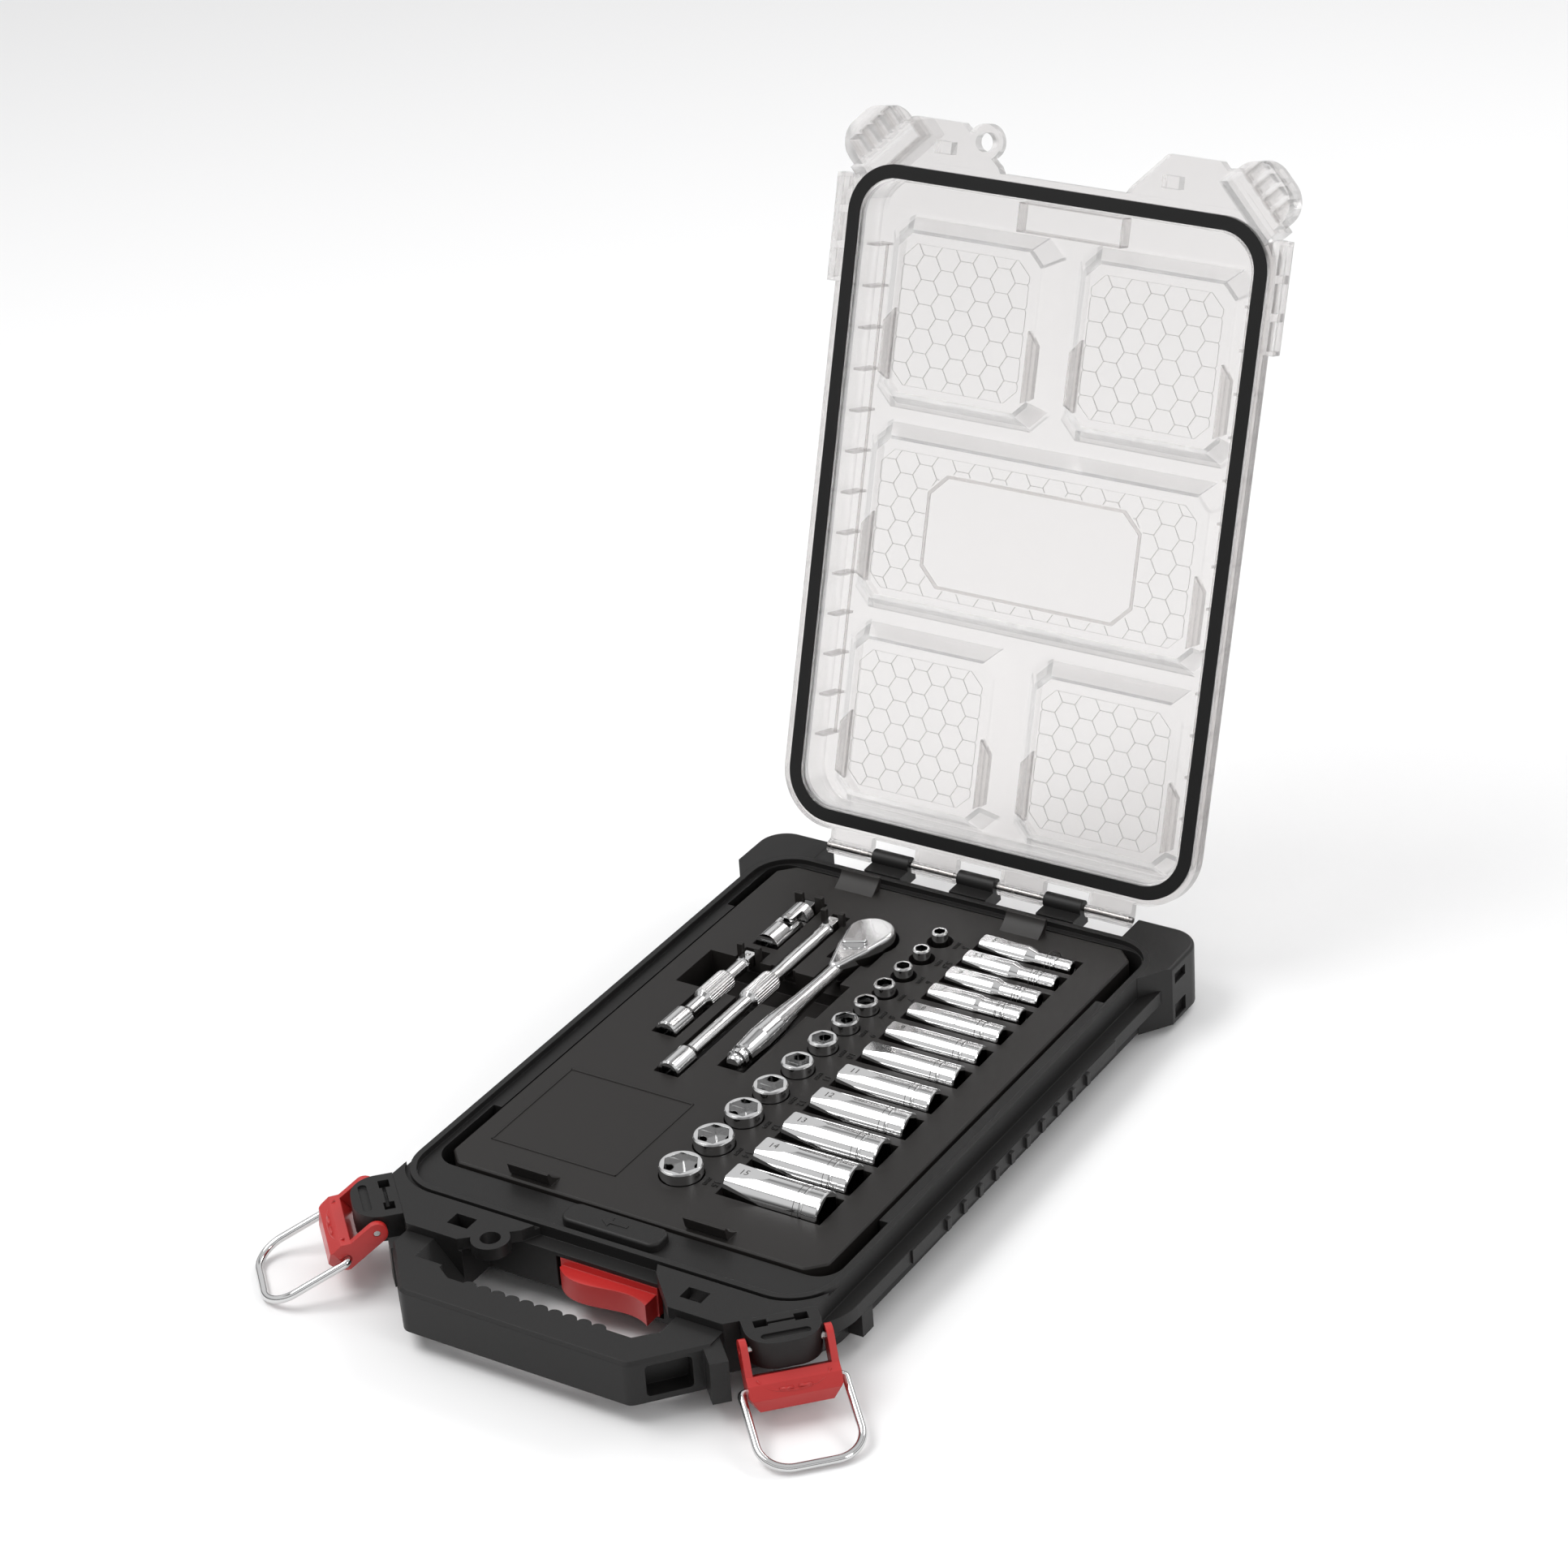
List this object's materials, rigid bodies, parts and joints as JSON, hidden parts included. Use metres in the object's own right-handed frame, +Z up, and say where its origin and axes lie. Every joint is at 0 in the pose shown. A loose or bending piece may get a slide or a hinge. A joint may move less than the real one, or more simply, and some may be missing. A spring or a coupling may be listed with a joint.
{
  "type": "socket wrench set in case",
  "caption": "Low-profile organiser case with a hinged clear lid, corner wire latches and a carrying handle, holding a ratchet, extension bars, a universal joint and two rows of sockets.",
  "frame": {"origin": "centre of the case's bottom face, between the left and right walls and between the front and rear of the sealing ridge", "axes": "+Z up, +Y from the carrying handle towards the lid's hinge, +X towards the right as seen from the handle"},
  "size_m": [0.3186, 0.5449, 0.3943],
  "materials": {
    "black_plastic": "fine moulded grain, slightly warm black",
    "tray_plastic": "satin moulded tray, slightly warm black",
    "clear_plastic": "clear polycarbonate, faintly grey",
    "seal_rubber": "soft black seal",
    "red_plastic": "semi-gloss red",
    "chrome": "polished chrome plate",
    "steel": "bright steel"
  },
  "bodies": {
    "base": {"base_shell": "black_plastic", "front_handle": "black_plastic", "rear_bumper_left": "black_plastic", "rear_bumper_right": "black_plastic", "side_rail_left": "black_plastic", "side_rail_right": "black_plastic", "hinge_rod": "steel", "latch_lobe_left": "black_plastic", "latch_lobe_right": "black_plastic", "latch_pin_left": "steel", "latch_pin_right": "steel", "lock_housing": "black_plastic"},
    "lid": {"lid_shell": "clear_plastic", "lid_gasket": "seal_rubber"},
    "lever_left": {"latch_lever_left": "red_plastic"},
    "bail_left": {"latch_bail_left": "chrome"},
    "lever_right": {"latch_lever_right": "red_plastic"},
    "bail_right": {"latch_bail_right": "chrome"},
    "stack_lock": {"lock_slider": "red_plastic"},
    "tray": {"tool_tray": "tray_plastic"},
    "ratchet": {"ratchet_body": "chrome"},
    "ratchet_drive": {"ratchet_drive": "chrome"},
    "ratchet_lever": {"ratchet_lever": "chrome"},
    "extension_long": {"extension_long": "chrome", "extension_long_ball": "steel"},
    "extension_short": {"extension_short": "chrome", "extension_short_ball": "steel"},
    "ujoint_female": {"ujoint_female": "chrome"},
    "ujoint_male": {"ujoint_cross": "steel", "ujoint_male": "chrome"},
    "socket_shallow_15mm": {"socket_shallow_15mm": "chrome"},
    "socket_deep_15mm": {"socket_deep_15mm": "chrome"},
    "socket_shallow_14mm": {"socket_shallow_14mm": "chrome"},
    "socket_deep_14mm": {"socket_deep_14mm": "chrome"},
    "socket_shallow_13mm": {"socket_shallow_13mm": "chrome"},
    "socket_deep_13mm": {"socket_deep_13mm": "chrome"},
    "socket_shallow_12mm": {"socket_shallow_12mm": "chrome"},
    "socket_deep_12mm": {"socket_deep_12mm": "chrome"},
    "socket_shallow_11mm": {"socket_shallow_11mm": "chrome"},
    "socket_deep_11mm": {"socket_deep_11mm": "chrome"},
    "socket_shallow_10mm": {"socket_shallow_10mm": "chrome"},
    "socket_deep_10mm": {"socket_deep_10mm": "chrome"},
    "socket_shallow_9mm": {"socket_shallow_9mm": "chrome"},
    "socket_deep_9mm": {"socket_deep_9mm": "chrome"},
    "socket_shallow_8mm": {"socket_shallow_8mm": "chrome"},
    "socket_deep_8mm": {"socket_deep_8mm": "chrome"},
    "socket_shallow_7mm": {"socket_shallow_7mm": "chrome"},
    "socket_deep_7mm": {"socket_deep_7mm": "chrome"},
    "socket_shallow_6mm": {"socket_shallow_6mm": "chrome"},
    "socket_deep_6mm": {"socket_deep_6mm": "chrome"},
    "socket_shallow_5_5mm": {"socket_shallow_5_5mm": "chrome"},
    "socket_deep_5_5mm": {"socket_deep_5_5mm": "chrome"},
    "socket_shallow_5mm": {"socket_shallow_5mm": "chrome"},
    "socket_deep_5mm": {"socket_deep_5mm": "chrome"}
  },
  "joints": [
    {"name": "lid_hinge", "type": "hinge", "parent": "base", "child": "lid", "pos_m": [0, 0.1795, 0.0375], "axis": [-1, 0, 0], "range_deg": [-107.8, 0]},
    {"name": "lever_left_pivot", "type": "hinge", "parent": "base", "child": "lever_left", "pos_m": [-0.11052, -0.18436, 0.03], "axis": [-0.7071, 0.7071, 0], "range_deg": [-56, 38]},
    {"name": "bail_left_pivot", "type": "hinge", "parent": "lever_left", "child": "bail_left", "pos_m": [-0.12082, -0.19466, 0.01942], "axis": [0.7071, -0.7071, 0], "range_deg": [-163.5, 15]},
    {"name": "lever_right_pivot", "type": "hinge", "parent": "base", "child": "lever_right", "pos_m": [0.11052, -0.18436, 0.03], "axis": [-0.7071, -0.7071, 0], "range_deg": [-34, 60]},
    {"name": "bail_right_pivot", "type": "hinge", "parent": "lever_right", "child": "bail_right", "pos_m": [0.11727, -0.19111, 0.01473], "axis": [0.7071, 0.7071, 0], "range_deg": [-134.5, 15]},
    {"name": "stack_lock_pull", "type": "slide", "parent": "base", "child": "stack_lock", "axis": [0, -1, 0], "range_m": [0, 0.005], "stiffness_N_per_m": 300},
    {"name": "tray_lift", "type": "slide", "parent": "base", "child": "tray", "axis": [0, 0, 1], "range_m": [0, 0.09]},
    {"name": "ratchet_lift", "type": "slide", "parent": "tray", "child": "ratchet", "axis": [0, 0, 1], "range_m": [0, 0.07]},
    {"name": "ratchet_drive_spin", "type": "hinge", "parent": "ratchet", "child": "ratchet_drive", "pos_m": [-0.022, 0.111, 0.03], "axis": [0, 0, 1], "continuous": true},
    {"name": "ratchet_selector", "type": "hinge", "parent": "ratchet", "child": "ratchet_lever", "pos_m": [-0.022, 0.096, 0.041], "axis": [0, 0, 1], "range_deg": [-56, 0]},
    {"name": "extension_long_lift", "type": "slide", "parent": "tray", "child": "extension_long", "axis": [0, 0, 1], "range_m": [0, 0.07]},
    {"name": "extension_short_lift", "type": "slide", "parent": "tray", "child": "extension_short", "axis": [0, 0, 1], "range_m": [0, 0.07]},
    {"name": "ujoint_lift", "type": "slide", "parent": "tray", "child": "ujoint_female", "axis": [0, 0, 1], "range_m": [0, 0.07]},
    {"name": "ujoint_tilt", "type": "hinge", "parent": "ujoint_female", "child": "ujoint_male", "pos_m": [-0.0665, 0.106, 0.034], "axis": [1, 0, 0], "range_deg": [0, 35]},
    {"name": "socket_shallow_15mm_lift", "type": "slide", "parent": "tray", "child": "socket_shallow_15mm", "axis": [0, 0, 1], "range_m": [0, 0.05]},
    {"name": "socket_deep_15mm_lift", "type": "slide", "parent": "tray", "child": "socket_deep_15mm", "axis": [0, 0, 1], "range_m": [0, 0.05]},
    {"name": "socket_shallow_14mm_lift", "type": "slide", "parent": "tray", "child": "socket_shallow_14mm", "axis": [0, 0, 1], "range_m": [0, 0.05]},
    {"name": "socket_deep_14mm_lift", "type": "slide", "parent": "tray", "child": "socket_deep_14mm", "axis": [0, 0, 1], "range_m": [0, 0.05]},
    {"name": "socket_shallow_13mm_lift", "type": "slide", "parent": "tray", "child": "socket_shallow_13mm", "axis": [0, 0, 1], "range_m": [0, 0.05]},
    {"name": "socket_deep_13mm_lift", "type": "slide", "parent": "tray", "child": "socket_deep_13mm", "axis": [0, 0, 1], "range_m": [0, 0.05]},
    {"name": "socket_shallow_12mm_lift", "type": "slide", "parent": "tray", "child": "socket_shallow_12mm", "axis": [0, 0, 1], "range_m": [0, 0.05]},
    {"name": "socket_deep_12mm_lift", "type": "slide", "parent": "tray", "child": "socket_deep_12mm", "axis": [0, 0, 1], "range_m": [0, 0.05]},
    {"name": "socket_shallow_11mm_lift", "type": "slide", "parent": "tray", "child": "socket_shallow_11mm", "axis": [0, 0, 1], "range_m": [0, 0.05]},
    {"name": "socket_deep_11mm_lift", "type": "slide", "parent": "tray", "child": "socket_deep_11mm", "axis": [0, 0, 1], "range_m": [0, 0.05]},
    {"name": "socket_shallow_10mm_lift", "type": "slide", "parent": "tray", "child": "socket_shallow_10mm", "axis": [0, 0, 1], "range_m": [0, 0.05]},
    {"name": "socket_deep_10mm_lift", "type": "slide", "parent": "tray", "child": "socket_deep_10mm", "axis": [0, 0, 1], "range_m": [0, 0.05]},
    {"name": "socket_shallow_9mm_lift", "type": "slide", "parent": "tray", "child": "socket_shallow_9mm", "axis": [0, 0, 1], "range_m": [0, 0.05]},
    {"name": "socket_deep_9mm_lift", "type": "slide", "parent": "tray", "child": "socket_deep_9mm", "axis": [0, 0, 1], "range_m": [0, 0.05]},
    {"name": "socket_shallow_8mm_lift", "type": "slide", "parent": "tray", "child": "socket_shallow_8mm", "axis": [0, 0, 1], "range_m": [0, 0.05]},
    {"name": "socket_deep_8mm_lift", "type": "slide", "parent": "tray", "child": "socket_deep_8mm", "axis": [0, 0, 1], "range_m": [0, 0.05]},
    {"name": "socket_shallow_7mm_lift", "type": "slide", "parent": "tray", "child": "socket_shallow_7mm", "axis": [0, 0, 1], "range_m": [0, 0.05]},
    {"name": "socket_deep_7mm_lift", "type": "slide", "parent": "tray", "child": "socket_deep_7mm", "axis": [0, 0, 1], "range_m": [0, 0.05]},
    {"name": "socket_shallow_6mm_lift", "type": "slide", "parent": "tray", "child": "socket_shallow_6mm", "axis": [0, 0, 1], "range_m": [0, 0.05]},
    {"name": "socket_deep_6mm_lift", "type": "slide", "parent": "tray", "child": "socket_deep_6mm", "axis": [0, 0, 1], "range_m": [0, 0.05]},
    {"name": "socket_shallow_5_5mm_lift", "type": "slide", "parent": "tray", "child": "socket_shallow_5_5mm", "axis": [0, 0, 1], "range_m": [0, 0.05]},
    {"name": "socket_deep_5_5mm_lift", "type": "slide", "parent": "tray", "child": "socket_deep_5_5mm", "axis": [0, 0, 1], "range_m": [0, 0.05]},
    {"name": "socket_shallow_5mm_lift", "type": "slide", "parent": "tray", "child": "socket_shallow_5mm", "axis": [0, 0, 1], "range_m": [0, 0.05]},
    {"name": "socket_deep_5mm_lift", "type": "slide", "parent": "tray", "child": "socket_deep_5mm", "axis": [0, 0, 1], "range_m": [0, 0.05]}
  ]
}
